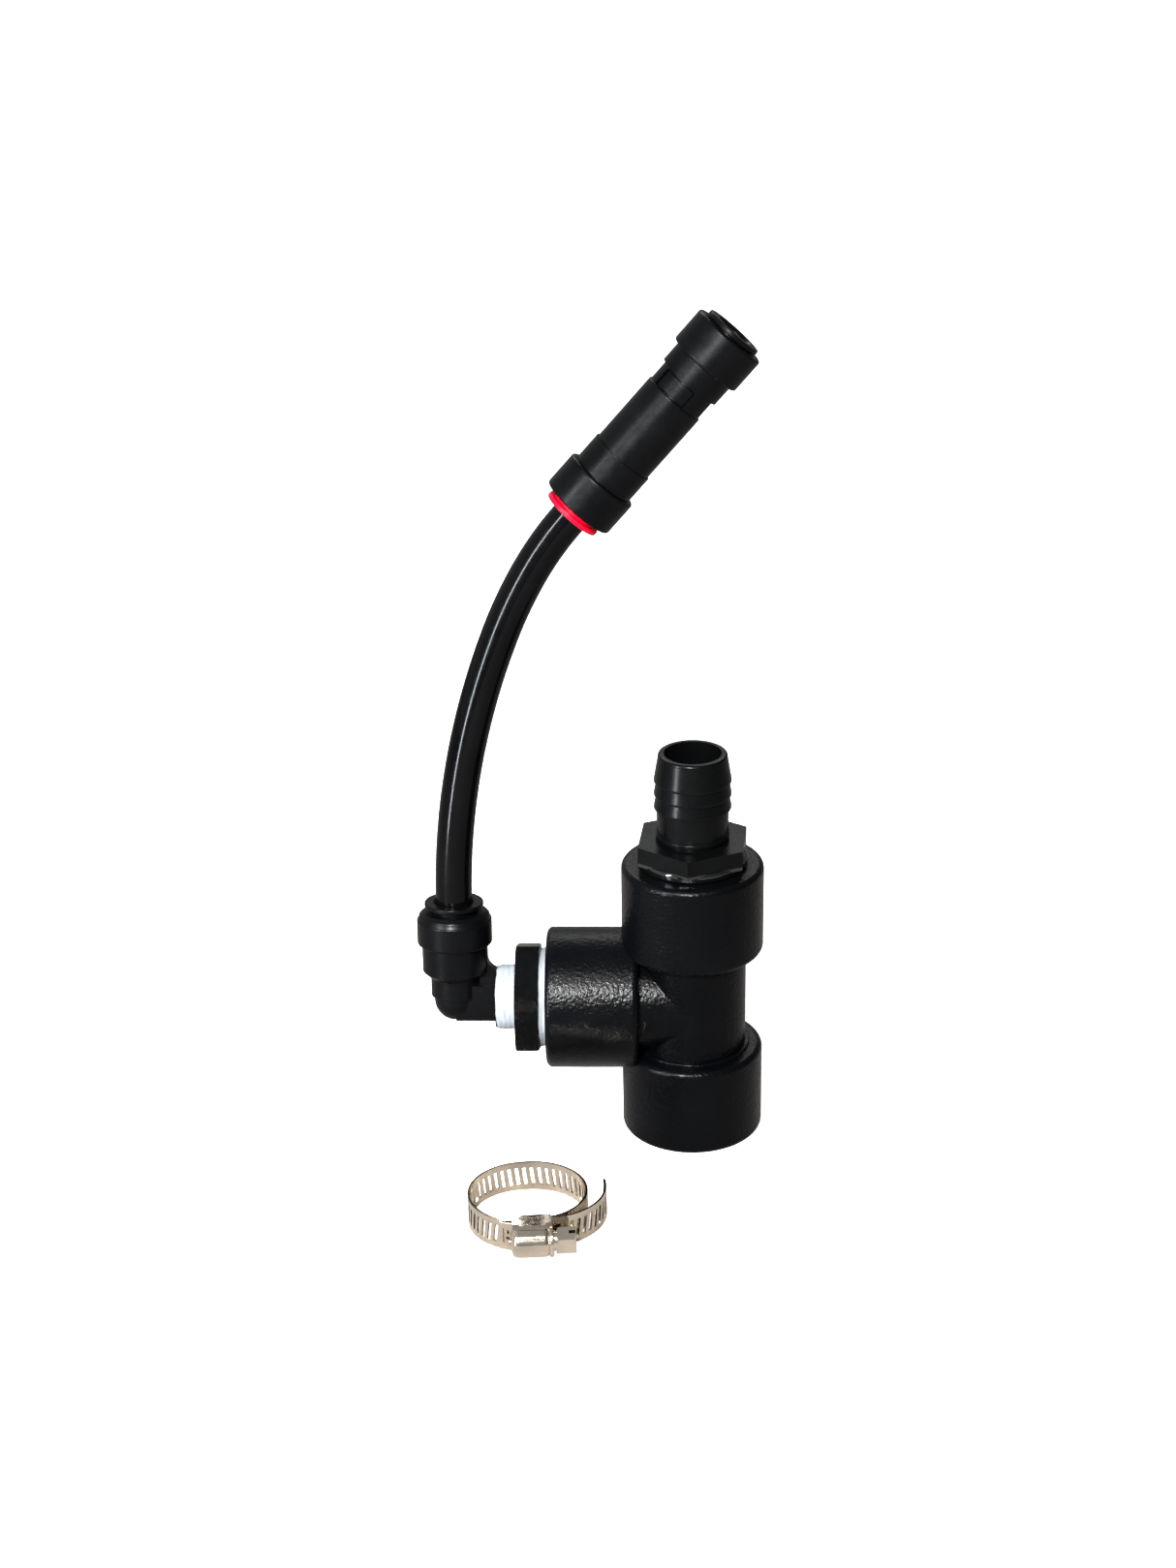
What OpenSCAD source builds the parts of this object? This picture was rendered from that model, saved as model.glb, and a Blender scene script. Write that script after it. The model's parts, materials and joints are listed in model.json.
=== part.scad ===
// Fill assembly for a water inlet: a threaded tee with a barbed hose adapter on top and a
// reducing bushing in its side, a push-in elbow, a bent tube and an in-line check valve,
// with a loose worm-drive hose clamp lying on the floor in front.
// Millimetres, +Z up, origin at the centre of the tee's bottom face. The tee's run lies on Z,
// its branch points along -X, and the elbow, tube and valve lean back together about the branch.

// Node to draw, or "all"
$fn = 96;

/* [Tee] */
// Outside diameter of the three threaded hubs
hub_d = 37; // [36.4:0.1:37.6]
// Overall length of the run
run_len = 76.8; // [76:0.1:78]
// Distance from the run axis to the branch face
branch_reach = 38.2; // [37.8:0.1:38.8]
// Length of each hub along its axis
hub_len = 24.4; // [23.5:0.1:25]
// Outside diameter of the barrel between the hubs
barrel_d = 28.1; // [27.6:0.1:28.6]
// Radius of the rounded hub edges
hub_edge = 1.6; // [1:0.1:2]
// Wall radius of the threaded ports
port_r = 13.1; // [12.9:0.1:13.4]
// Depth of the threaded ports
port_depth = 19; // [17:0.5:20]
// Radius of the water way through the tee
way_r = 9.8; // [9:0.1:10.5]
// How far the branch axis lies below the run's middle
branch_drop = 1.1; // [0:0.1:1.5]

/* [Hose adapter] */
// Height of the barb's mouth above the tee's top face
barb_top = 30.5; // [30:0.1:31]
// Shank diameter that the hose clamps onto
shank_d = 18.5; // [18.2:0.1:18.8]
// Diameter over the barb crests
crest_d = 19.9; // [19.6:0.1:20.4]
// Inside diameter of the barb
barb_bore = 14.8; // [14:0.1:15.4]
// Distance across the adapter hex's corners
adapter_hex = 31; // [30.4:0.1:31.6]
// Turn of the adapter hex about the run axis
hex_turn = 25; // [0:1:59]

/* [Bushing] */
// Distance across the bushing hex's flats
bushing_flats = 27.3; // [27:0.1:27.6]
// Thickness of the bushing hex
bushing_hex = 6.1; // [5.8:0.1:6.4]
// Turn of the bushing hex about the branch axis
bushing_turn = 6; // [0:1:59]

/* [Elbow] */
// Distance from the run axis to the elbow's arm axis
arm_x = 62.2; // [62:0.1:62.6]
// Lean of the arm, tube and valve back from upright
lean = 6.5; // [0:0.5:10]
// Height of the collet's face above the branch axis
arm_top = 26.8; // [26.6:0.1:27.1]
// Side of the square wrench section
wrench = 9.3; // [9:0.1:9.6]

/* [Push-in ports] */
// Outside diameter of the tube
tube_d = 9.525; // [9.5:0.005:9.55]
// Wall radius that guides the tube
guide_r = 4.82; // [4.8:0.01:4.84]
// Depth from the collet's face to the tube stop
insert_len = 16.5; // [16.2:0.1:16.8]
// Outside diameter of the port's cap
cap_d = 19.6; // [19.3:0.1:19.9]
// Outside diameter of the collet's flange
flange_d = 15.4; // [15:0.1:15.8]

/* [Tube] */
// Inside diameter of the tube
tube_bore = 6.35; // [5.8:0.05:6.6]
// Bend radius of the long lower arc
bend1_r = 195; // [190:1:200]
// Angle of the long lower arc
bend1_a = 21.5; // [20:0.5:23]
// Bend radius of the middle arc
bend2_r = 120; // [115:1:125]
// Angle of the middle arc
bend2_a = 8; // [7:0.5:9]
// Bend radius of the last arc
bend3_r = 86; // [82:1:90]
// Angle of the last arc
bend3_a = 12; // [11:0.5:13]

/* [Check valve] */
// Overall length between the two collet faces
valve_len = 61.4; // [61.2:0.1:61.8]
// Diameter of the long sleeve
sleeve_d = 16.1; // [16:0.1:16.3]
// Diameter of the sleeve in the window zone
zone_d = 15.4; // [15.3:0.1:15.5]
// Angle that each window spans
window_a = 75; // [70:1:80]
// Turn of the windows about the valve axis
window_turn = 9; // [0:1:119]

/* [Hose clamp] */
// Inside radius of the round part of the band
ring_r = 14.2; // [14:0.1:14.4]
// Thickness of the band
band_t = 0.55; // [0.5:0.05:0.6]
// Width of the band
band_w = 8.1; // [7.9:0.1:8.2]
// Distance between neighbouring slots
slot_pitch = 1.9; // [1.8:0.05:1.95]
// Turn of the clamp about its own axis
clamp_turn = 7; // [0:1:20]
// Distance across the screw head's flats
head_flats = 6.35; // [6:0.05:6.5]

/* [Hidden] */

black = [0.07, 0.07, 0.08];
gloss = [0.03, 0.03, 0.035];
red = [0.85, 0.03, 0.08];
white = [0.93, 0.93, 0.93];
steel = [0.75, 0.73, 0.7];
seal = [0.1, 0.1, 0.1];

fit = 0.05;
seam = 0.03;
branch_z = run_len / 2 - branch_drop;
hub_r = hub_d / 2;
barrel_r = barrel_d / 2;
foot_r = barrel_r + 1.1;
foot_h = 0.7;

// Hose adapter heights above the tee's top face
adapter_low = -16;
shoulder_r = 14.2;
shoulder_h = 1.7;
adapter_hex_top = 6.9;
groove_top = 7.6;
base_top = 8.7;
barb_z = [barb_top - 14.8, barb_top - 11.2, barb_top - 7.5];
crest_land = 0.6;
root_r = shank_d / 2 + 0.1;
crest_r = crest_d / 2;
mouth_r = 8.95;

// Bushing and elbow distances from the run axis along the branch
tape_end = branch_reach + 1.9;
hex_end = tape_end + bushing_hex;
bushing_in = 23;
bushing_core = 12.6;
elbow_port_r = 8.6;
elbow_port_in = 31;
elbow_core = 8.1;
elbow_in = 33;
elbow_stop = 51.6;

// Elbow heights above the branch axis
bend_r = 5.7;
knee_drop = 0.4;
knee_r = 6.5;
knee_top = 6.3;
neck_r = 8.6;
neck_low = 8;
flow_r = 3.3;
web_t = 3.2;

// Push-in port heights above the tube stop, mouth upwards
groove_r = 6.65;
groove_low = 4;
spigot_r = 8;
spigot_top = 8.2;
cap_low = 5.2;
chamber_r = 7;
lip_t = 1.9;
lip_r = 6.3;
rim_edge = 0.7;
pressed_in = 0.9;
cap_high = insert_len - 2.5;
flange_t = 1.3;
collet_r = 6.1;
collet_low = 9.4;
head_r = 6.7;

// Check valve distances from the inlet collet's face
valve_neck_r = 8.45;
inlet_cap_end = 12.2;
sleeve_start = 19.7;
zone_start = 38.8;
zone_end = 44.6;
outlet_cap_start = valve_len - insert_len + cap_low;
chamber2_r = 6.4;
chamber2_low = 19.2;
spigot2_low = 33.4;
window_low = 39.3;
window_high = 44.2;
latch_gap = 0.35;

// Tube path in the leaning plane
tube_low = arm_top - insert_len + 0.1;
tube_straight = 27.35;
valve_angle = bend1_a + bend2_a + bend3_a;
p1_x = -arm_x + bend1_r * (1 - cos(bend1_a));
p1_h = tube_straight + bend1_r * sin(bend1_a);
a2 = bend1_a + bend2_a;
p2_x = p1_x + bend2_r * (cos(bend1_a) - cos(a2));
p2_h = p1_h + bend2_r * (sin(a2) - sin(bend1_a));
p3_x = p2_x + bend3_r * (cos(a2) - cos(valve_angle));
p3_h = p2_h + bend3_r * (sin(valve_angle) - sin(a2));
tube_gap = 0.8;
joint_t = 0.01;
face_x = p3_x + tube_gap * sin(valve_angle);
face_h = p3_h + tube_gap * cos(valve_angle);

// Hose clamp, in its own frame: the housing faces -Y and the band stands on z = 0
clamp_x = -41.55;
clamp_y = -48.75;
sheet = 0.35;
ring_y = -0.4;
left_x = -0.5;
right_x = 0.3;
back_r = 13.9;
front_r = 12.7;
back_right_x = right_x + ring_r - back_r;
back_left_x = left_x - ring_r + back_r;
front_x = ring_r + right_x - front_r;
inner_y = -12.6;
saddle_y = inner_y + sheet;
outer_y = inner_y - band_t - 0.13;
kink_right = 5.3;
kink_left = -6.5;
tail_x = 5;
tail_r = 14.4;
tail_tip = 8;
clamp_tilt = 0.78;
clamp_rise = (ring_y + back_r + band_t) * sin(clamp_tilt);
worm_y = -17.5;
worm_z = band_w / 2;
worm_lean = 2.5;
dome_r = 3.9;
worm_r = 3.2;
house_left = 5.5;
house_right = 4.98;
head_low = 5.8;
head_high = 10.55;
slot_l = 4.9;
slot_w = 0.9;
slot_lean = -7;

// ---- shared shapes ----
module disc(r, z0, z1) {
    translate([0, 0, z0]) cylinder(r = r, h = z1 - z0);
}

module cone(r0, r1, z0, z1) {
    translate([0, 0, z0]) cylinder(r1 = r0, r2 = r1, h = z1 - z0);
}

module ring(ro, ri, z0, z1) {
    difference() {
        disc(ro, z0, z1);
        disc(ri, z0 - 1, z1 + 1);
    }
}

// A round bar from z0 to z1 whose two rims are rounded with radius e
module rounded_disc(r, z0, z1, e) {
    rotate_extrude() {
        translate([0, z0]) square([r - e, z1 - z0]);
        translate([0, z0 + e]) square([r, z1 - z0 - 2 * e]);
        intersection() {
            translate([r - e, z0 + e]) circle(r = e, $fn = 48);
            translate([r - e, z0]) square([e, e]);
        }
        intersection() {
            translate([r - e, z1 - e]) circle(r = e, $fn = 48);
            translate([r - e, z1 - e]) square([e, e]);
        }
    }
}

module torus(R, r) {
    rotate_extrude() translate([R, 0]) circle(r = r, $fn = 48);
}

// An arc swept from a flat profile, bending from +Z towards +X
module bend(R, a) {
    translate([R, 0, 0]) rotate([90, 0, 0]) rotate([0, 0, 180 - a])
        rotate_extrude(angle = a) translate([R, 0]) children();
}

module on_branch() {
    translate([0, 0, branch_z]) rotate([0, -90, 0]) children();
}

module in_plane() {
    translate([0, 0, branch_z]) rotate([-lean, 0, 0]) children();
}

module on_leaning_branch() {
    in_plane() rotate([0, -90, 0]) children();
}

module on_arm() {
    in_plane() translate([-arm_x, 0, 0]) children();
}

module on_valve() {
    in_plane() translate([face_x, 0, face_h]) rotate([0, valve_angle, 0]) children();
}

// Port frames: +Z out of the mouth, zero at the tube stop
module on_elbow_port() {
    on_arm() translate([0, 0, arm_top - insert_len]) children();
}

module on_inlet_port() {
    on_valve() translate([0, 0, insert_len]) rotate([180, 0, 0]) children();
}

module on_outlet_port() {
    on_valve() translate([0, 0, valve_len - insert_len]) children();
}

// ---- push-in port ----
module port_cut() {
    disc(guide_r, 0, groove_low + 0.5);
    disc(groove_r, groove_low, spigot_top + 1);
}

module port_spigot(top_from) {
    disc(spigot_r, top_from, spigot_top);
}

module cap_bore(low, high) {
    disc(spigot_r + fit, low - 1, spigot_top + fit);
    disc(chamber_r, spigot_top, high - lip_t);
    disc(lip_r, high - lip_t - 1, high + 1);
}

// The elbow's cap, with a soft shoulder
module port_cap(low) {
    difference() {
        union() {
            rounded_disc(cap_d / 2, low, cap_high - 2, 0.5);
            rounded_disc(cap_d / 2 - 0.5, low + 1, cap_high - 0.9, 0.45);
            cone(cap_d / 2, cap_d / 2 - 0.75, cap_high - 2.6, cap_high - 0.8);
            cone(cap_d / 2 - 0.75, cap_d / 2 - 1.7, cap_high - 0.8, cap_high);
        }
        cap_bore(low, cap_high);
    }
}

// A valve cap, square at its rim
module valve_cap(low, high) {
    difference() {
        rounded_disc(cap_d / 2, low, high, rim_edge);
        cap_bore(low, high);
    }
}

module port_oring() {
    translate([0, 0, groove_low + 1]) torus(guide_r + 0.02 + 0.88, 0.88);
}

module port_spacer() {
    ring(groove_r - fit, guide_r + 0.03, groove_low + 2.05, spigot_top - 0.3);
}

module port_collet() {
    difference() {
        union() {
            disc(collet_r, collet_low, insert_len - 0.5);
            cone(head_r - 0.3, head_r, collet_low, collet_low + 0.8);
            cone(head_r, collet_r, collet_low + 0.8, collet_low + 2);
            rounded_disc(flange_d / 2, insert_len - flange_t, insert_len, 0.35);
        }
        disc(guide_r, collet_low - 1, insert_len + 1);
        disc(5.95, collet_low + 0.45, collet_low + 0.95);
        cone(guide_r, guide_r + 0.7, insert_len - 0.6, insert_len + 0.1);
        for (k = [0:1]) {
            rotate([0, 0, 90 * k + 45]) translate([-9, -0.45, collet_low - 1])
                cube([18, 0.9, 5]);
        }
    }
}

module port_grip() {
    difference() {
        ring(5.9, guide_r + 0.02, collet_low + 0.5, collet_low + 0.9);
        for (k = [0:7]) {
            rotate([0, 0, 45 * k + 22.5]) translate([4, -0.3, collet_low])
                cube([1.4, 0.6, 2]);
        }
    }
}

// ---- tee ----
// The outside of the run, grown by g
module run_outside(g) {
    rounded_disc(hub_r + g, -g, hub_len + g, hub_edge);
    rounded_disc(hub_r + g, run_len - hub_len - g, run_len + g, hub_edge);
    disc(barrel_r + g, hub_len - 3, run_len - hub_len + 3);
    rounded_disc(foot_r + g, hub_len - 3, hub_len + foot_h + g, 0.35);
}

module tee_body() color(black) difference() {
    run_outside(0);
    disc(way_r, -1, run_len + 1);
    disc(port_r, -1, port_depth);
    disc(port_r, run_len - port_depth, run_len + 1);
    cone(port_r, way_r, port_depth - 0.01, port_depth + 2);
    cone(way_r, port_r, run_len - port_depth - 2, run_len - port_depth + 0.01);
    on_branch() disc(way_r, 0, branch_reach);
}

module tee_branch() color(black) difference() {
    on_branch() {
        disc(barrel_r, 0, branch_reach - 3);
        rounded_disc(hub_r, branch_reach - hub_len + 0.2, branch_reach, hub_edge);
    }
    run_outside(seam);
    disc(barrel_r + seam, 0, run_len);
    on_branch() {
        disc(way_r, 0, branch_reach);
        disc(port_r, branch_reach - port_depth, branch_reach + 1);
    }
}

// ---- barbed hose adapter ----
module hose_adapter() color(black) translate([0, 0, run_len]) difference() {
    union() {
        disc(port_r - fit, adapter_low, 0.4);
        cone(port_r - 1, port_r - fit, adapter_low - 1, adapter_low);
        rounded_disc(shoulder_r, fit, shoulder_h + 0.9, 0.8);
        rotate([0, 0, hex_turn]) translate([0, 0, shoulder_h])
            linear_extrude(adapter_hex_top - shoulder_h) hexagon(adapter_hex / 2);
        disc(shank_d / 2 - 0.55, adapter_hex_top - 1, groove_top + 0.5);
        rounded_disc(shank_d / 2 + 0.25, groove_top, base_top, 0.25);
        disc(shank_d / 2, base_top - 0.5, barb_z[0]);
        for (k = [0:2]) {
            disc(crest_r, barb_z[k], barb_z[k] + crest_land);
        }
        for (k = [0:1]) {
            cone(crest_r, root_r, barb_z[k] + crest_land, barb_z[k + 1]);
        }
        cone(crest_r, mouth_r, barb_z[2] + crest_land, barb_top - 0.8);
        rounded_disc(mouth_r, barb_z[2] - 1, barb_top, 0.7);
    }
    disc(barb_bore / 2, adapter_low - 2, barb_top + 1);
}

module hexagon(r) {
    polygon([for (k = [0:5]) [r * cos(60 * k), r * sin(60 * k)]]);
}

// ---- reducing bushing ----
module reducing_bushing() color(black) on_branch() difference() {
    union() {
        disc(bushing_core, bushing_in, tape_end + 0.5);
        cone(bushing_core - 1, bushing_core, bushing_in - 1, bushing_in);
        intersection() {
            rotate([0, 0, 180 - bushing_turn]) translate([0, 0, tape_end])
                linear_extrude(bushing_hex) hexagon(bushing_flats / sqrt(3));
            union() {
                cone(14.9, 16.2, tape_end, tape_end + 0.8);
                disc(16.2, tape_end + 0.8, hex_end - 0.8);
                cone(16.2, 14.9, hex_end - 0.8, hex_end);
            }
        }
    }
    disc(elbow_port_r, elbow_port_in, hex_end + 1);
    disc(6.4, bushing_in - 2, elbow_port_in + 1);
}

module bushing_tape() color(white) on_branch() {
    ring(port_r - fit, bushing_core + 0.02, bushing_in + 3, tape_end - 0.03);
}

// ---- push-in elbow ----
module elbow_body() color(black) difference() {
    union() {
        on_leaning_branch() {
            disc(elbow_core, elbow_in, elbow_stop);
            translate([-wrench / 2 - knee_drop, -wrench / 2, elbow_stop - 0.4])
                cube([wrench + knee_drop, wrench, arm_x - elbow_stop + 0.2]);
        }
        on_arm() {
            translate([0, 0, -knee_drop]) sphere(r = bend_r);
            disc(bend_r, -knee_drop, 2);
            rounded_disc(knee_r, 0.7, knee_top + 1, 0.5);
            cone(knee_r + 0.4, neck_r, knee_top, neck_low);
            disc(neck_r, neck_low, arm_top - insert_len + cap_low - 0.02);
        }
        on_elbow_port() port_spigot(cap_low - 1);
        in_plane() rotate([90, 0, 0]) translate([0, 0, -web_t / 2])
            linear_extrude(web_t) difference() {
                translate([-arm_x, 0]) square([arm_x - elbow_stop, 11.4]);
                translate([-arm_x + neck_r + 3.6, 11.4]) circle(r = 3.7, $fn = 64);
            }
    }
    on_elbow_port() port_cut();
    on_arm() disc(flow_r, 0, 12);
    on_arm() sphere(r = flow_r);
    on_leaning_branch() disc(flow_r, elbow_in - 1, arm_x);
}

module elbow_tape() color(white) on_leaning_branch() {
    ring(elbow_port_r - fit, elbow_core + 0.02, elbow_in + 1, elbow_stop - 0.5);
}

module elbow_cap() color(black) on_elbow_port() port_cap(cap_low);
module elbow_oring() color(seal) on_elbow_port() port_oring();
module elbow_spacer() color(black) on_elbow_port() port_spacer();
module elbow_collet() color(black) on_elbow_port() port_collet();
module elbow_grip() color(steel) on_elbow_port() port_grip();

// ---- tube ----
module tube_section() difference() {
    circle(r = tube_d / 2);
    circle(r = tube_bore / 2);
}

// A thin collar that joins the pieces that meet at z = 0
module tube_joint() {
    ring(tube_d / 2 + joint_t, tube_bore / 2 - joint_t, -0.25, 0.25);
}

module supply_tube() color(gloss) in_plane() {
    translate([-arm_x, 0, 0]) ring(tube_d / 2, tube_bore / 2, tube_low, tube_straight);
    translate([-arm_x, 0, tube_straight]) {
        tube_joint();
        bend(bend1_r, bend1_a) tube_section();
    }
    translate([p1_x, 0, p1_h]) rotate([0, bend1_a, 0]) {
        tube_joint();
        bend(bend2_r, bend2_a) tube_section();
    }
    translate([p2_x, 0, p2_h]) rotate([0, a2, 0]) {
        tube_joint();
        bend(bend3_r, bend3_a) tube_section();
    }
    translate([p3_x, 0, p3_h]) rotate([0, valve_angle, 0]) {
        tube_joint();
        ring(tube_d / 2, tube_bore / 2, 0, tube_gap + insert_len - 0.1);
    }
}

// ---- check valve ----
// Three blocks about the valve axis, each cut back by g1 and g2 degrees from the window's sides
module windows(g1, g2, r0, r1, w0, w1) {
    for (k = [0:2]) {
        rotate([0, 0, 120 * k + window_turn - window_a / 2 + g1])
            translate([0, 0, w0]) rotate_extrude(angle = window_a - g1 - g2)
                translate([r0, 0]) square([r1 - r0, w1 - w0]);
    }
}

module inlet_body() color(black) difference() {
    union() {
        on_inlet_port() port_spigot(cap_low - 1);
        on_valve() {
            disc(valve_neck_r, inlet_cap_end + 0.02, sleeve_start);
            rounded_disc(sleeve_d / 2, sleeve_start - 1, zone_start + 0.4, 0.35);
            disc(zone_d / 2, zone_start - 1, zone_end);
        }
    }
    on_inlet_port() port_cut();
    on_valve() {
        disc(flow_r, insert_len - 1, chamber2_low + 1);
        disc(chamber2_r, chamber2_low, zone_end + 1);
        windows(0, 0, chamber2_r - 1, zone_d / 2 + 1, window_low, window_high);
    }
}

module inlet_cap() color(black) on_inlet_port() valve_cap(insert_len - inlet_cap_end, cap_high);
module inlet_oring() color(seal) on_inlet_port() port_oring();
module inlet_spacer() color(black) on_inlet_port() port_spacer();
module inlet_collet() color(red) on_inlet_port() port_collet();
module inlet_grip() color(steel) on_inlet_port() port_grip();

module outlet_body() color(black) difference() {
    union() {
        on_outlet_port() port_spigot(cap_low - 1);
        on_valve() {
            disc(valve_neck_r, zone_end + 0.02, outlet_cap_start - 0.02);
            disc(chamber2_r - fit, spigot2_low, zone_end + 0.5);
            windows(7, 2.6, chamber2_r - 1, zone_d / 2 - 0.12, window_low + latch_gap,
                    window_high - latch_gap);
        }
    }
    on_outlet_port() port_cut();
    on_valve() {
        disc(flow_r, spigot2_low - 1, valve_len - insert_len + 1);
        ring(chamber2_r + 1, 5.2, spigot2_low + 1.2, spigot2_low + 3);
    }
}

module outlet_cap() color(black) on_outlet_port() valve_cap(cap_low, cap_high + pressed_in);
module outlet_oring() color(seal) on_outlet_port() port_oring();
module outlet_spacer() color(black) on_outlet_port() port_spacer();
module outlet_collet() color(black) on_outlet_port() port_collet();
module outlet_grip() color(steel) on_outlet_port() port_grip();

module joint_oring() color(seal) on_valve() {
    translate([0, 0, spigot2_low + 2.1]) torus(5.8, 0.57);
}

module check_seat() color(black) on_valve() difference() {
    disc(chamber2_r - fit, chamber2_low + fit, 22);
    disc(3.4, chamber2_low - 1, 23);
    cone(3.4, 4.6, 21.2, 22.1);
}

module check_cage() color(black) on_valve() {
    difference() {
        disc(chamber2_r - fit, 22.05, spigot2_low - 0.1);
        disc(5.2, 21, spigot2_low - 2);
        for (k = [0:2]) {
            rotate([0, 0, 120 * k]) translate([3.4, 0, 28]) cylinder(r = 1.35, h = 7);
        }
        disc(1.25, 28, 35);
    }
}

module check_poppet() color(gloss) on_valve() difference() {
    union() {
        cone(2.4, 3.2, 21.1, 21.9);
        disc(4.7, 22.75, 23.9);
        disc(3.2, 21.8, 22.9);
        disc(1.2, 23.5, 31.4);
    }
    disc(0.5, 20, 22.5);
}

module poppet_seal() color(seal) on_valve() translate([0, 0, 22.28]) torus(3.72, 0.44);

module check_spring() color(steel) on_valve() {
    coils = 5;
    gap = (31.0 - 24.3) / coils;
    for (k = [0:coils]) {
        translate([0, 0, 24.28 + k * gap]) torus(2.3, 0.25);
    }
    for (k = [0:coils - 1]) {
        translate([k % 2 == 0 ? 2.3 : -2.3, 0, 24.28 + k * gap])
            cylinder(r = 0.2, h = gap, $fn = 24);
    }
}

// ---- hose clamp ----
module on_clamp() {
    translate([clamp_x, clamp_y, clamp_rise]) rotate([0, 0, clamp_turn])
        rotate([-clamp_tilt, 0, 0]) children();
}

// The screw's frame: +Z out of the head
module on_worm() {
    translate([0, worm_y, worm_z]) rotate([0, 0, -worm_lean]) rotate([0, 90, 0]) children();
}

// A piece of band with inside radius r about (x, y), from angle a0 over da degrees
module arc_band(x, y, r, a0, da) {
    translate([x, y, 0]) rotate([0, 0, a0]) rotate_extrude(angle = da)
        translate([r, 0]) square([band_t, band_w]);
}

module slot_row(x, y, r, a0, n) {
    step = slot_pitch / r * 180 / PI;
    for (k = [0:n - 1]) {
        translate([x, y, worm_z]) rotate([0, 0, a0 + k * step]) translate([r - 1, 0, 0])
            rotate([slot_lean, 0, 0]) translate([0, -slot_w / 2, -slot_l / 2])
                cube([band_t + 2, slot_w, slot_l]);
    }
}

module clamp_band() color(steel) on_clamp() difference() {
    union() {
        translate([-3, inner_y - band_t, 0]) cube([kink_right + 3.15, band_t, band_w]);
        arc_band(front_x, ring_y, front_r, -acos((kink_right - front_x) / front_r),
                 acos((kink_right - front_x) / front_r));
        arc_band(back_right_x, ring_y, back_r, 0, 90);
        translate([back_left_x, ring_y + back_r, 0])
            cube([back_right_x - back_left_x, band_t, band_w]);
        arc_band(back_left_x, ring_y, back_r, 90, 90);
        arc_band(left_x, ring_y, ring_r, 180, 66);
        translate([kink_left, outer_y - band_t, 0]) cube([tail_x - kink_left, band_t, band_w]);
        arc_band(tail_x, tail_r + outer_y, tail_r, -90, 90 + tail_tip);
    }
    slot_row(front_x, ring_y, front_r, -64, 8);
    slot_row(back_right_x, ring_y, back_r, 5.8, 12);
    slot_row(back_left_x, ring_y, back_r, 94, 11);
    slot_row(left_x, ring_y, ring_r, 181.3, 8);
    slot_row(tail_x, tail_r + outer_y, tail_r, -71.1, 9);
}

module clamp_housing() color(steel) on_clamp() difference() {
    union() {
        on_worm() {
            rounded_disc(dome_r, -house_left, house_right - 0.4, 1.9);
            rounded_disc(dome_r + 0.12, house_right - 1, house_right, 0.3);
        }
        rotate([90, 0, 90]) translate([0, 0, 0.5 - house_left])
            linear_extrude(house_left + house_right - 0.7) housing_side();
        translate([left_x, ring_y, 0.25]) rotate([0, 0, 240]) rotate_extrude(angle = 14)
            translate([ring_r + band_t + 0.15, 0]) square([0.4, band_w - 0.5]);
    }
    translate([-house_left - 1, outer_y - band_t - fit, -fit])
        cube([2 * house_left + 2, inner_y - outer_y + band_t + 2 * fit, band_w + 2 * fit]);
    on_worm() {
        disc(worm_r + 0.1, 1 - house_left, house_right + 1);
        disc(1.3, -house_left - 1, 0);
    }
    translate([1 - house_left, worm_y, worm_z - worm_r - 0.1])
        cube([2 * house_left, outer_y - band_t - worm_y, 2 * worm_r + 0.2]);
    translate([-3.3, worm_y + 0.3, band_w + sheet - 0.2]) cube([6.5, 3.7, 1]);
    strap_slots();
}

// The housing's section beside the dome, as (y, z)
module housing_side() {
    polygon([[saddle_y, -sheet], [saddle_y, band_w + sheet],
             [worm_y + 1.2, band_w + sheet], [worm_y - 0.7, worm_z + dome_r - 0.1],
             [worm_y - 0.7, worm_z - dome_r + 0.1], [worm_y + 1.2, -sheet]]);
}

module strap_slots() {
    for (k = [[244.3, 0.5, 4.2, 0.3], [248.9, 0.5, 1.3, 1.4], [248.5, 0.9, 0.7, -0.4]]) {
        translate([left_x, ring_y, worm_z + k[3]]) rotate([0, 0, k[0]])
            translate([ring_r + band_t, -k[1] / 2, -k[2] / 2]) cube([2, k[1], k[2]]);
    }
}

module clamp_screw() color(steel) on_clamp() on_worm() difference() {
    union() {
        disc(1.2, -house_left - 0.4, -3.7);
        disc(2.4, -4, head_low + 0.5);
        for (k = [0:3]) {
            cone(2.3, worm_r, -3.5 + k * slot_pitch, -3.0 + k * slot_pitch);
            disc(worm_r, -3.0 + k * slot_pitch, -2.7 + k * slot_pitch);
            cone(worm_r, 2.3, -2.7 + k * slot_pitch, -2.2 + k * slot_pitch);
        }
        intersection() {
            translate([0, 0, head_low]) rotate([0, 0, 57])
                linear_extrude(head_high - head_low) hexagon(head_flats / sqrt(3));
            union() {
                cone(3.3, 3.7, head_low, head_low + 0.4);
                disc(3.7, head_low + 0.4, head_high - 0.5);
                cone(3.7, 3, head_high - 0.5, head_high);
            }
        }
    }
    rotate([0, 0, 20]) translate([-5, -0.45, head_high - 1.8]) cube([10, 0.9, 4]);
}

tee_body();
tee_branch();
hose_adapter();
reducing_bushing();
bushing_tape();
elbow_body();
elbow_tape();
elbow_cap();
elbow_oring();
elbow_spacer();
elbow_collet();
elbow_grip();
supply_tube();
inlet_body();
inlet_cap();
inlet_oring();
inlet_spacer();
inlet_collet();
inlet_grip();
outlet_body();
outlet_cap();
outlet_oring();
outlet_spacer();
outlet_collet();
outlet_grip();
joint_oring();
check_seat();
check_cage();
check_poppet();
poppet_seal();
check_spring();
clamp_band();
clamp_housing();
clamp_screw();
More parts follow.
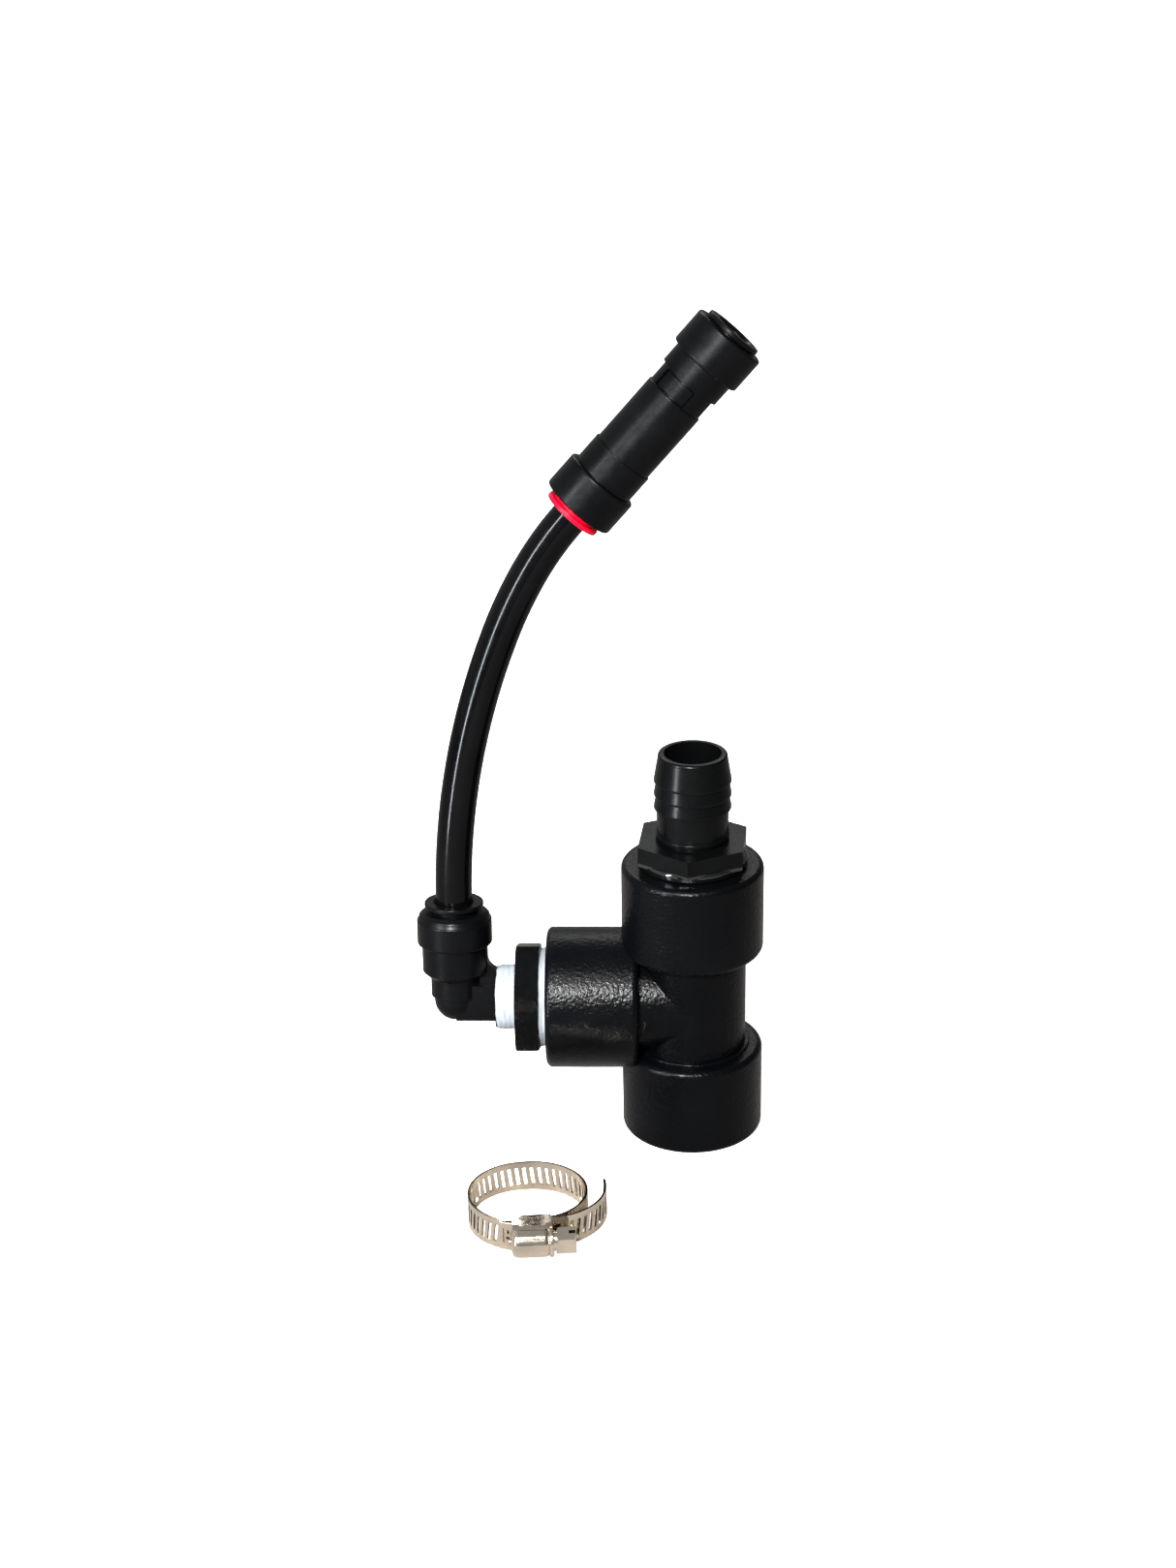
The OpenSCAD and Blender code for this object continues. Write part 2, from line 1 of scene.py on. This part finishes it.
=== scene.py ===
"""Looks for the water fill valve assembly: materials for the CAD nodes, wound thread tape, threads,
a coiled check spring, and the studio. Everything is in metres, in the CAD model's frame."""
import json
import math

import bmesh
import bpy
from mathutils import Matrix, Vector, noise


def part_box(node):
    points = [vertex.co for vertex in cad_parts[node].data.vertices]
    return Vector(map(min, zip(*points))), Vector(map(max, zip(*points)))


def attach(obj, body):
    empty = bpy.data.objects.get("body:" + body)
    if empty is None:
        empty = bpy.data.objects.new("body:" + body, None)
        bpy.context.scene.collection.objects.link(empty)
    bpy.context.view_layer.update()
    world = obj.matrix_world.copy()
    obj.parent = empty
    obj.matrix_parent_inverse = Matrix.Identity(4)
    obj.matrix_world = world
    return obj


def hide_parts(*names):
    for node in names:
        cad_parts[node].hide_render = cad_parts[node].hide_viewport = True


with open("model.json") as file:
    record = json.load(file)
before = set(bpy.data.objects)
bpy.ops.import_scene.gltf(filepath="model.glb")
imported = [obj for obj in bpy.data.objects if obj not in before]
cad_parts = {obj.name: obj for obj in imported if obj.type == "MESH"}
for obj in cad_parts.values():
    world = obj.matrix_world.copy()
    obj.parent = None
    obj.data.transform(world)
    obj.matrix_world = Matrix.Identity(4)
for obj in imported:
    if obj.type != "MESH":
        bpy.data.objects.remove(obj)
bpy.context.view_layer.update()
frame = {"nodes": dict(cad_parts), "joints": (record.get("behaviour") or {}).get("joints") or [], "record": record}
MM = 0.001


# ---------------------------------------------------------------- node material helpers
class Nodes:
    """A small wrapper that builds one procedural material."""

    def __init__(self, name):
        self.material = bpy.data.materials.new(name)
        self.material.use_nodes = True
        self.tree = self.material.node_tree
        self.shader = self.tree.nodes["Principled BSDF"]
        self.coords = self.tree.nodes.new("ShaderNodeTexCoord").outputs["Object"]

    def add(self, kind, **values):
        """A new node; each value is one of its properties or the default of an input."""
        node = self.tree.nodes.new(kind)
        for key, value in values.items():
            if hasattr(node, key):
                setattr(node, key, value)
            else:
                node.inputs[key.replace("_", " ")].default_value = value
        return node

    def link(self, a, b):
        self.tree.links.new(a, b)

    def noise(self, scale, detail=3.0, rough=0.5, stretch=(1, 1, 1)):
        """A noise in object space; stretch multiplies its frequency along each axis."""
        mapping = self.add("ShaderNodeMapping")
        mapping.inputs["Scale"].default_value = stretch
        self.link(self.coords, mapping.inputs["Vector"])
        node = self.add("ShaderNodeTexNoise")
        node.inputs["Scale"].default_value = scale
        node.inputs["Detail"].default_value = detail
        node.inputs["Roughness"].default_value = rough
        self.link(mapping.outputs["Vector"], node.inputs["Vector"])
        return node.outputs["Fac"]

    def ramp(self, source, stops):
        """A colour ramp over source; stops is a list of (place, colour)."""
        node = self.add("ShaderNodeValToRGB")
        elements = node.color_ramp.elements
        while len(elements) < len(stops):
            elements.new(0.5)
        for element, (place, colour) in zip(elements, stops):
            element.position = place
            element.color = (*colour, 1)
        self.link(source, node.inputs["Fac"])
        return node.outputs["Color"]

    def spread(self, source, low, high, start=0.3, end=0.7):
        """Maps source from start..end to low..high."""
        node = self.add("ShaderNodeMapRange")
        node.inputs["From Min"].default_value = start
        node.inputs["From Max"].default_value = end
        node.inputs["To Min"].default_value = low
        node.inputs["To Max"].default_value = high
        self.link(source, node.inputs["Value"])
        return node.outputs["Result"]

    def bump(self, heights):
        """Chains bump nodes: heights is a list of (source, strength, distance in metres)."""
        last = None
        for source, strength, distance in heights:
            node = self.add("ShaderNodeBump")
            node.inputs["Strength"].default_value = strength
            node.inputs["Distance"].default_value = distance
            self.link(source, node.inputs["Height"])
            if last is not None:
                self.link(last, node.inputs["Normal"])
            last = node.outputs["Normal"]
        self.link(last, self.shader.inputs["Normal"])

    def set(self, **values):
        """Plain values for the main shader's inputs."""
        for key, value in values.items():
            self.shader.inputs[key.replace("_", " ")].default_value = value


POLISH_ROUGHNESS = 0.18
POLISH_SHINE = 0.9


def moulded_black(name, base, lift, rough, grain, grain_height, wave_height, shine,
                  gloss_band=None):
    """Satin black moulded plastic; gloss_band is a (low, high) span of heights that is polished."""
    m = Nodes(name)
    cloud = m.noise(60, 4)
    m.link(m.ramp(cloud, [(0.3, base), (0.72, lift)]), m.shader.inputs["Base Color"])
    roughness = m.spread(m.noise(350, 4), rough[0], rough[1])
    if gloss_band is not None:
        low, high = gloss_band
        split = m.add("ShaderNodeSeparateXYZ")
        m.link(m.coords, split.inputs["Vector"])
        inside = m.add("ShaderNodeMath", operation="COMPARE")
        m.link(split.outputs["Z"], inside.inputs[0])
        inside.inputs[1].default_value = (low + high) / 2
        inside.inputs[2].default_value = (high - low) / 2
        product = m.add("ShaderNodeMath", operation="MULTIPLY")
        m.link(roughness, product.inputs[0])
        m.link(m.spread(inside.outputs[0], 1.0, POLISH_ROUGHNESS, 0.0, 1.0), product.inputs[1])
        roughness = product.outputs[0]
        glossy = m.spread(inside.outputs[0], shine, POLISH_SHINE, 0.0, 1.0)
        m.link(glossy, m.shader.inputs["Specular IOR Level"])
    m.link(roughness, m.shader.inputs["Roughness"])
    m.bump([(m.noise(grain, 2, 0.5), 0.6, grain_height), (m.noise(90, 2), 0.25, wave_height)])
    m.set(Specular_IOR_Level=shine, IOR=1.5)
    return m.material


def tube_black():
    """Extruded tube with a smooth, glossy skin."""
    m = Nodes("tube_gloss")
    dark, light = (0.0006, 0.0006, 0.0008), (0.0012, 0.0012, 0.0015)
    m.link(m.ramp(m.noise(40, 3), [(0.3, dark), (0.7, light)]), m.shader.inputs["Base Color"])
    m.link(m.spread(m.noise(500, 4), 0.1, 0.2), m.shader.inputs["Roughness"])
    m.bump([(m.noise(160, 2), 0.15, 0.00006)])
    m.set(Specular_IOR_Level=0.09, Coat_Weight=0.04, Coat_Roughness=0.04)
    return m.material


def collet_red():
    """Saturated red moulded plastic."""
    m = Nodes("acetal_red")
    dark, light = (0.5, 0.0008, 0.012), (0.62, 0.0015, 0.02)
    m.link(m.ramp(m.noise(140, 3), [(0.3, dark), (0.7, light)]), m.shader.inputs["Base Color"])
    m.link(m.spread(m.noise(500, 4), 0.3, 0.42), m.shader.inputs["Roughness"])
    m.bump([(m.noise(1500, 4), 0.3, 0.00003)])
    m.set(Specular_IOR_Level=0.12)
    return m.material


def tape_white():
    """Thread tape: streaked around the thread, waxy and slightly translucent."""
    m = Nodes("ptfe_white")
    streak = m.noise(300, 5, 0.6, stretch=(6, 1, 1))
    dark, light = (0.2, 0.212, 0.236), (0.3, 0.31, 0.326)
    m.link(m.ramp(streak, [(0.25, dark), (0.7, light)]), m.shader.inputs["Base Color"])
    m.link(m.spread(m.noise(800, 3), 0.42, 0.6), m.shader.inputs["Roughness"])
    m.bump([(streak, 0.35, 0.00008), (m.noise(1200, 4), 0.3, 0.00003)])
    m.set(Specular_IOR_Level=0.4, Subsurface_Weight=0.12)
    return m.material


def rubber_black():
    """Dull black seal rubber."""
    m = Nodes("seal_rubber")
    dark, light = (0.012, 0.012, 0.012), (0.022, 0.022, 0.021)
    m.link(m.ramp(m.noise(200, 3), [(0.3, dark), (0.7, light)]), m.shader.inputs["Base Color"])
    m.link(m.spread(m.noise(600, 4), 0.55, 0.7), m.shader.inputs["Roughness"])
    m.bump([(m.noise(1800, 4), 0.4, 0.00003)])
    return m.material


def rolled_steel():
    """Rolled stainless steel: streaks along the strip, warm grey tint, small scuffs."""
    m = Nodes("stainless")
    streak = m.noise(900, 5, 0.6, stretch=(1, 1, 14))
    dark, light = (0.6, 0.515, 0.415), (0.88, 0.78, 0.65)
    m.link(m.ramp(m.noise(120, 4), [(0.3, dark), (0.7, light)]), m.shader.inputs["Base Color"])
    m.link(m.spread(streak, 0.06, 0.16), m.shader.inputs["Roughness"])
    m.bump([(streak, 0.2, 0.00003), (m.noise(400, 3), 0.15, 0.00005)])
    m.set(Metallic=1.0)
    return m.material


# The span of heights, from the tee's top face up, that holds the hose adapter's polished shoulder
tee_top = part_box("tee_body")[1].z
SHOULDER = (tee_top, tee_top + 2.6 * MM)
LOOKS = {
    "pvc_black": moulded_black(
        "pvc_black", base=(0.0005, 0.0006, 0.0008), lift=(0.0012, 0.0014, 0.0018), rough=(0.2, 0.28),
        grain=1150, grain_height=0.3 * MM, wave_height=0.04 * MM, shine=0.08),
    "poly_black": moulded_black(
        "poly_black", base=(0.0006, 0.0007, 0.0008), lift=(0.0014, 0.0016, 0.0017), rough=(0.22, 0.3),
        grain=1500, grain_height=0.02 * MM, wave_height=0.02 * MM, shine=0.09, gloss_band=SHOULDER),
    "acetal_black": moulded_black(
        "acetal_black", base=(0.0006, 0.0007, 0.0009), lift=(0.0016, 0.0017, 0.002), rough=(0.26, 0.36),
        grain=1800, grain_height=0.03 * MM, wave_height=0.04 * MM, shine=0.08),
    "acetal_red": collet_red(),
    "tube_gloss": tube_black(),
    "ptfe_white": tape_white(),
    "seal_rubber": rubber_black(),
    "stainless": rolled_steel(),
}

slots = {row["node"]: row["material_slot"] for row in frame["record"]["subparts"]}
for node, obj in frame["nodes"].items():
    obj.data.materials.clear()
    obj.data.materials.append(LOOKS[slots[node]])


# ---------------------------------------------------------------- mesh helpers
def about(origin, axis):
    """place(radius, angle, along) gives the point at that spot around an axis."""
    axis = Vector(axis).normalized()
    side = axis.orthogonal().normalized()
    up = axis.cross(side)
    origin = Vector(origin)

    def place(radius, angle, along):
        return origin + axis * along + (side * math.cos(angle) + up * math.sin(angle)) * radius

    return place


def piece(name, points, faces, slot, body):
    """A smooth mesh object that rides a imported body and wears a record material."""
    mesh = bpy.data.meshes.new(name)
    mesh.from_pydata([tuple(p) for p in points], [], faces)
    bm = bmesh.new()
    bm.from_mesh(mesh)
    bmesh.ops.recalc_face_normals(bm, faces=bm.faces)
    bm.to_mesh(mesh)
    bm.free()
    for polygon in mesh.polygons:
        polygon.use_smooth = True
    mesh.materials.append(LOOKS[slot])
    obj = bpy.data.objects.new(name, mesh)
    bpy.context.scene.collection.objects.link(obj)
    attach(obj, body)
    return obj


def skin(rings, closed):
    """Points and faces that join rings of equal length; an open run gets a cap at each end."""
    count = len(rings[0])
    points = [p for ring in rings for p in ring]
    faces = []
    last = len(rings) if closed else len(rings) - 1
    for i in range(last):
        a, b = i * count, (i + 1) % len(rings) * count
        for k in range(count):
            n = (k + 1) % count
            faces.append((a + k, a + n, b + n, b + k))
    if not closed:
        faces.append(tuple(range(count)))
        faces.append(tuple(range(len(points) - count, len(points))))
    return points, faces


# ---------------------------------------------------------------- thread tape
branch_z = sum(corner.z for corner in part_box("bushing_tape")) / 2
on_branch = about((0, 0, branch_z), (-1, 0, 0))
TAPE_T = 0.4 * MM
THREAD_PITCH = 1.41 * MM
LAP_PITCH = 3.1 * MM
# Heights of the tape's ripples, laps and creases, and how far its tapered end sinks
RIPPLE_H = 0.075 * MM
LAP_H = 0.07 * MM
CREASE_H = 0.06 * MM
TAPER_DROP = 0.45 * MM
# How far the surface, before ripples and laps, is set below the CAD tape's radius
HEADROOM = 0.14 * MM
# The far edge wanders by this much, and a skewed wrap reaches furthest at this angle
FRAY = 0.22 * MM
SKEW_ANGLE = 1.2


def tape_span(node):
    """Where a tape node starts and ends along the branch, and its radius."""
    low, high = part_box(node)
    return -high.x, -low.x, (high.z - low.z) / 2


def wound_tape(name, node, taper, skew, seed):
    """A shell of tape pulled over a thread: ripples from the thread, lapped layers, uneven edges."""
    sectors, steps = 220, 46
    fray_scale, crease_scale = 3.1, 900
    start, end, outer = tape_span(node)
    rings = []
    for i in range(sectors):
        angle = math.tau * i / sectors
        swirl = Vector((math.cos(angle), math.sin(angle), 0))
        fray = FRAY * noise.noise(swirl * fray_scale + Vector((seed, 0, 0)))
        edge = skew * math.cos(angle - SKEW_ANGLE) + fray
        ring = []
        for k in range(steps + 1):
            part = k / steps
            along = start + (end + edge - start) * part
            ripple = RIPPLE_H * math.cos(math.tau * (along / THREAD_PITCH - angle / math.tau))
            lap = LAP_H * ((along / LAP_PITCH - angle / math.tau) % 1.0)
            crease = CREASE_H * noise.noise(Vector((along * crease_scale, angle * 2.0, seed)))
            close = min(1.0, (end + edge - along) / taper) if taper else 1.0
            drop = (1 - close) ** 2 * TAPER_DROP
            ring.append(on_branch(outer - HEADROOM + ripple + lap + crease - drop, angle, along))
        for k in (1, 0):
            ring.append(on_branch(outer - TAPE_T, angle, start + (end + edge - start) * k))
        rings.append(ring)
    points, faces = skin(rings, closed=True)
    obj = piece(name, points, faces, "ptfe_white", "fitting")
    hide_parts(node)


wound_tape("bushing_tape_wraps", "bushing_tape", taper=0, skew=0, seed=2.0)
wound_tape("elbow_tape_wraps", "elbow_tape", taper=1.1 * MM, skew=0.35 * MM, seed=7.0)


# ---------------------------------------------------------------- threads and spring
def helix(place, radius, start, pitch, turns, section, per_turn, ease):
    """Rings of a section of (radial, axial) offsets along a helix, faded in over ease turns."""
    # Keeps the end rings from closing to a point
    stub = 0.02
    rings = []
    for i in range(int(turns * per_turn) + 1):
        turn = i / per_turn
        fade = min(1.0, (turn + stub) / ease, (turns - turn + stub) / ease)
        rings.append([place(radius + dr * fade, math.tau * turn, start + pitch * turn + da)
                      for dr, da in section])
    return rings


def port_thread():
    """The ridges of the tee's open bottom port, standing in from its wall."""
    pitch, wall, start, turns = 1.814 * MM, 13.14 * MM, 1.2 * MM, 8.5
    ridge = [(0, -0.62 * MM), (-0.85 * MM, -0.14 * MM), (-0.92 * MM, 0), (-0.85 * MM, 0.14 * MM),
             (0, 0.62 * MM)]
    on_port = about((0, 0, 0), (0, 0, 1))
    rings = helix(on_port, wall, start, pitch, turns, ridge, per_turn=72, ease=0.4)
    points, faces = skin(rings, closed=False)
    piece("bottom_port_thread", points, faces, "pvc_black", "fitting")


port_thread()

valve_joint = next(j for j in frame["joints"] if j["name"] == "valve_swivel")
valve_axis = Vector(valve_joint["axis"]).normalized()
on_valve = about(valve_joint["pos_m"], valve_axis)


def along_valve(node):
    """How far a node reaches along the valve axis, from the joint's place."""
    origin = Vector(valve_joint["pos_m"])
    spans = [(v.co - origin).dot(valve_axis) for v in frame["nodes"][node].data.vertices]
    return min(spans), max(spans)


def check_spring_coil():
    """A compression spring with closed end coils, where the CAD has stacked rings."""
    wire, coil_radius, coils = 0.25 * MM, 2.3 * MM, 6.5
    # Closed turns at each end, where the coils touch
    closed = 0.9
    low, high = along_valve("check_spring")
    low, high = low + wire, high - wire
    open_length = high - low - 4 * wire * closed
    per_turn, sides = 48, 12
    rings = []
    for i in range(int(coils * per_turn) + 1):
        turn = i / per_turn
        opened = min(max((turn - closed) / (coils - 2 * closed), 0.0), 1.0)
        stacked = min(turn, closed) + max(turn - coils + closed, 0.0)
        along = low + 2 * wire * stacked + open_length * opened
        ring = []
        for k in range(sides):
            around = math.tau * k / sides
            ring.append(on_valve(coil_radius + wire * math.cos(around), math.tau * turn,
                                 along + wire * math.sin(around)))
        rings.append(ring)
    points, faces = skin(rings, closed=False)
    obj = piece("check_spring_coil", points, faces, "stainless", "valve")
    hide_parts("check_spring")


check_spring_coil()


# ---------------------------------------------------------------- studio
def area_light(name, place, target, size, power, colour=(1, 1, 1)):
    """A rectangular light at place, facing target."""
    light = bpy.data.lights.new(name, "AREA")
    light.shape = "RECTANGLE"
    light.size, light.size_y = size
    light.energy = power
    light.color = colour
    obj = bpy.data.objects.new(name, light)
    obj.location = place
    obj.rotation_euler = (Vector(target) - Vector(place)).to_track_quat("-Z", "Y").to_euler()
    bpy.context.scene.collection.objects.link(obj)


def floor():
    """A floor that the camera sees as white, and that is dim to every other ray."""
    mesh = bpy.data.meshes.new("floor")
    side, low = 3.0, -0.02 * MM
    mesh.from_pydata([(-side, -side, low), (side, -side, low), (side, side, low), (-side, side, low)],
                     [], [(0, 1, 2, 3)])
    obj = bpy.data.objects.new("floor", mesh)
    bpy.context.scene.collection.objects.link(obj)
    m = Nodes("floor")
    dark, light = (0.9, 0.9, 0.9), (0.93, 0.93, 0.93)
    m.link(m.ramp(m.noise(12, 3), [(0.3, dark), (0.7, light)]), m.shader.inputs["Base Color"])
    m.set(Roughness=0.7, Emission_Color=(1, 1, 1, 1), Emission_Strength=0.8)
    dim = m.add("ShaderNodeBsdfDiffuse", Color=(0.2, 0.19, 0.18, 1))
    path = m.add("ShaderNodeLightPath")
    mix = m.add("ShaderNodeMixShader")
    m.link(path.outputs["Is Camera Ray"], mix.inputs["Fac"])
    m.link(dim.outputs["BSDF"], mix.inputs[1])
    m.link(m.shader.outputs["BSDF"], mix.inputs[2])
    m.link(mix.outputs["Shader"], m.tree.nodes["Material Output"].inputs["Surface"])
    mesh.materials.append(m.material)


def surround(left, right):
    """A neutral world light whose strength falls from left to right of the object."""
    world = bpy.data.worlds.new("studio")
    world.use_nodes = True
    sky = world.node_tree
    direction = sky.nodes.new("ShaderNodeTexCoord").outputs["Generated"]
    sideways = sky.nodes.new("ShaderNodeSeparateXYZ")
    sky.links.new(direction, sideways.inputs["Vector"])
    fade = sky.nodes.new("ShaderNodeMapRange")
    fade.inputs["From Min"].default_value = -0.9
    fade.inputs["From Max"].default_value = 0.6
    fade.inputs["To Min"].default_value = left
    fade.inputs["To Max"].default_value = right
    sky.links.new(sideways.outputs["X"], fade.inputs["Value"])
    sky.links.new(fade.outputs["Result"], sky.nodes["Background"].inputs["Strength"])
    sky.nodes["Background"].inputs["Color"].default_value = (0.98, 1, 0.99, 1)
    bpy.context.scene.world = world


floor()
surround(left=0.62, right=0.16)
middle = (-0.025, 0.0, 0.09)
upper_middle = (-0.03, 0.0, 0.14)
area_light("key", (-0.2, -0.93, 0.7), middle, (0.16, 0.16), 40)
area_light("strip", (-0.33, -0.27, 0.19), upper_middle, (0.04, 0.36), 4, (0.88, 0.94, 1))
area_light("back", (-0.1, 1.15, 0.9), middle, (0.9, 0.3), 4)
area_light("over", (-0.1, -0.75, 1.15), middle, (0.8, 0.1), 7)


# ---------------------------------------------------------------- camera
def photo_camera(place, look_down, lens, shift_x):
    """A camera that faces +Y and looks down by an angle in degrees; lens and sensor are in mm."""
    data = bpy.data.cameras.new("camera")
    data.sensor_fit = "VERTICAL"
    data.sensor_height = 36.0
    data.lens = lens
    data.shift_x = shift_x
    data.clip_start = 0.01
    camera = bpy.data.objects.new("camera", data)
    camera.location = place
    camera.rotation_euler = (math.radians(90 - look_down), 0, 0)
    bpy.context.scene.collection.objects.link(camera)
    bpy.context.scene.camera = camera


photo_camera(place=(-0.0033, -0.645, 0.385), look_down=23.94, lens=63.5948, shift_x=-0.0585)
bpy.context.scene.view_settings.view_transform = "Standard"
